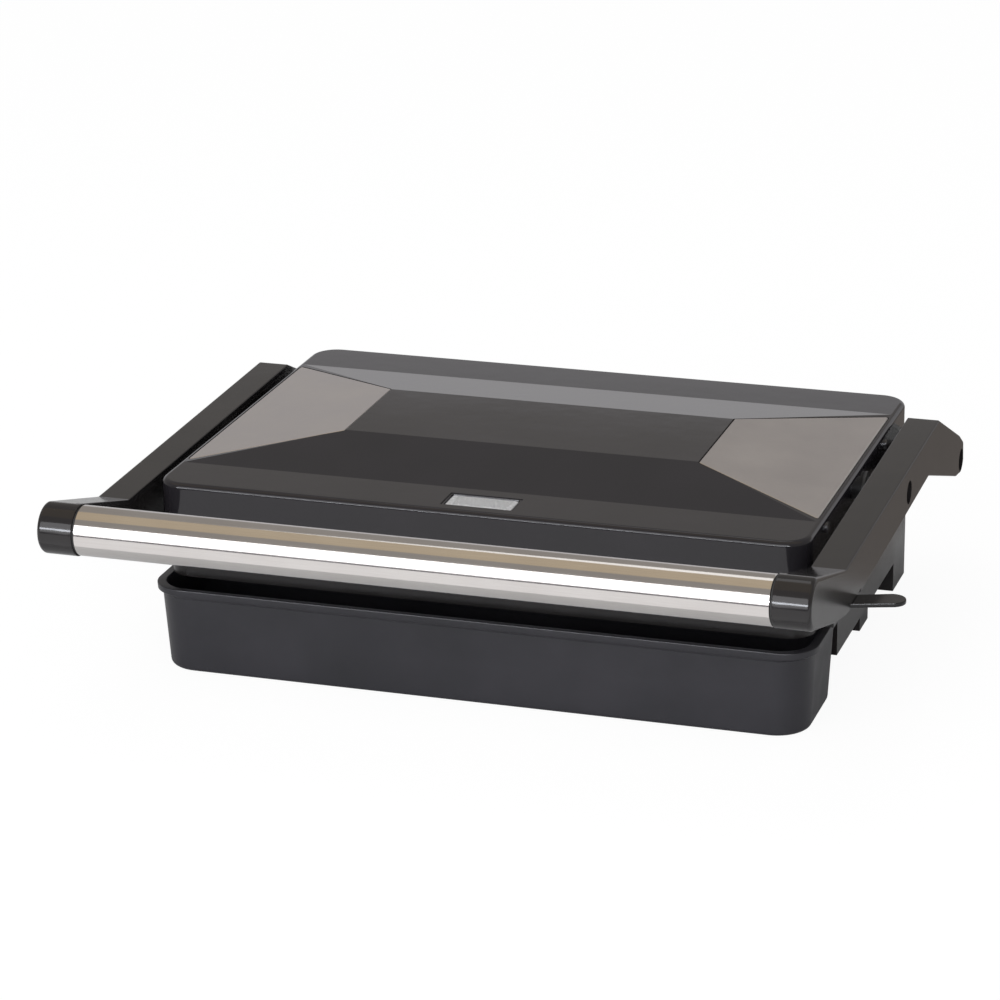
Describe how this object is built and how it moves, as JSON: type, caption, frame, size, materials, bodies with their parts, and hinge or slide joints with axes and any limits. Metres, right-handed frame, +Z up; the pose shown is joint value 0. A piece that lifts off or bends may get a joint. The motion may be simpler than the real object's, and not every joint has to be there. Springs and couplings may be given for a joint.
{
  "type": "electric contact grill",
  "caption": "Contact grill: hipped black lid with two steel insets, floating on pivots between arms with a steel tube handle, ribbed plates, base on feet and a pull-out front drip tray.",
  "frame": {"origin": "middle of the drip tray's flat underside, on the bench plane, in the mid-plane between the arms", "axes": "+X to the right as seen by the user, +Y from the handle to the hinge at the back, +Z up from the bench"},
  "size_m": [0.3685, 0.3348, 0.1041],
  "materials": {
    "lid_gloss": "polished black moulding",
    "arm_gloss": "semi-gloss black moulding",
    "base_satin": "satin black moulding",
    "tray_satin": "satin black moulding",
    "lever_gloss": "polished black moulding",
    "tube_steel": "fine brushed stainless steel",
    "inset_steel": "matt brushed stainless steel",
    "screw_steel": "zinc plated",
    "heater_steel": "heat-tinted steel sheath",
    "sheet_steel": "aluminised sheet steel",
    "liner_steel": "heat-proof black paint",
    "plate_coat": "die-cast aluminium with a dark non-stick coating",
    "pad_rubber": "soft rubber",
    "white_nylon": "natural nylon",
    "ceramic": "ceramic insulator",
    "lens_clear": "clear ribbed plastic",
    "lamp_glow": "neon lamp bulbs, unlit",
    "bush_grey": "sintered grey metal"
  },
  "bodies": {
    "base": {"base_housing": "base_satin", "base_back": "base_satin", "base_cover": "base_satin", "lower_plate": "plate_coat", "lower_heater": "heater_steel", "lower_reflector": "sheet_steel", "thermostat": "ceramic", "thermal_fuse": "ceramic", "terminal_block": "ceramic", "cord_bushing": "pad_rubber", "foot_pads": "pad_rubber", "base_screws": "screw_steel", "hinge_screw_left": "screw_steel", "hinge_screw_right": "screw_steel"},
    "handle_frame": {"arm_left": "arm_gloss", "arm_right": "arm_gloss", "arm_cover_left": "base_satin", "arm_cover_right": "base_satin", "hinge_bush_left": "white_nylon", "hinge_bush_right": "white_nylon", "float_bolt_left": "screw_steel", "float_bolt_right": "screw_steel", "handle_tube": "tube_steel", "handle_ring_left": "pad_rubber", "handle_ring_right": "pad_rubber", "arm_screws": "screw_steel", "lock_pin": "screw_steel"},
    "lid": {"lid_cover": "lid_gloss", "steel_inset_left": "inset_steel", "steel_inset_right": "inset_steel", "lamp_bezel": "lid_gloss", "lamp_lens": "lens_clear", "pilot_lamps": "lamp_glow", "lid_bush_left": "bush_grey", "lid_bush_right": "bush_grey", "lid_liner": "liner_steel", "upper_plate": "plate_coat", "upper_heater": "heater_steel", "upper_reflector": "sheet_steel", "upper_fuse": "ceramic", "lid_screws": "screw_steel"},
    "drip_tray": {"drip_tray": "tray_satin"},
    "lock_lever": {"lock_lever": "lever_gloss"}
  },
  "joints": [
    {"name": "arm_hinge", "type": "hinge", "parent": "base", "child": "handle_frame", "pos_m": [0, 0.215, 0.0517], "axis": [-1, 0, 0], "range_deg": [0, 105]},
    {"name": "lid_float", "type": "hinge", "parent": "handle_frame", "child": "lid", "pos_m": [0, 0.087, 0.0779], "axis": [-1, 0, 0], "range_deg": [-8, 0]},
    {"name": "tray_slide", "type": "slide", "parent": "base", "child": "drip_tray", "axis": [0, -1, 0], "range_m": [0, 0.1]},
    {"name": "lock_turn", "type": "hinge", "parent": "handle_frame", "child": "lock_lever", "pos_m": [0.1658, -0.018, 0.0666], "axis": [0, 0, 1], "range_deg": [0, 12]}
  ],
  "couplings": [
    {"joint": "lid_float", "follows": "arm_hinge", "ratio": -0.0761}
  ]
}
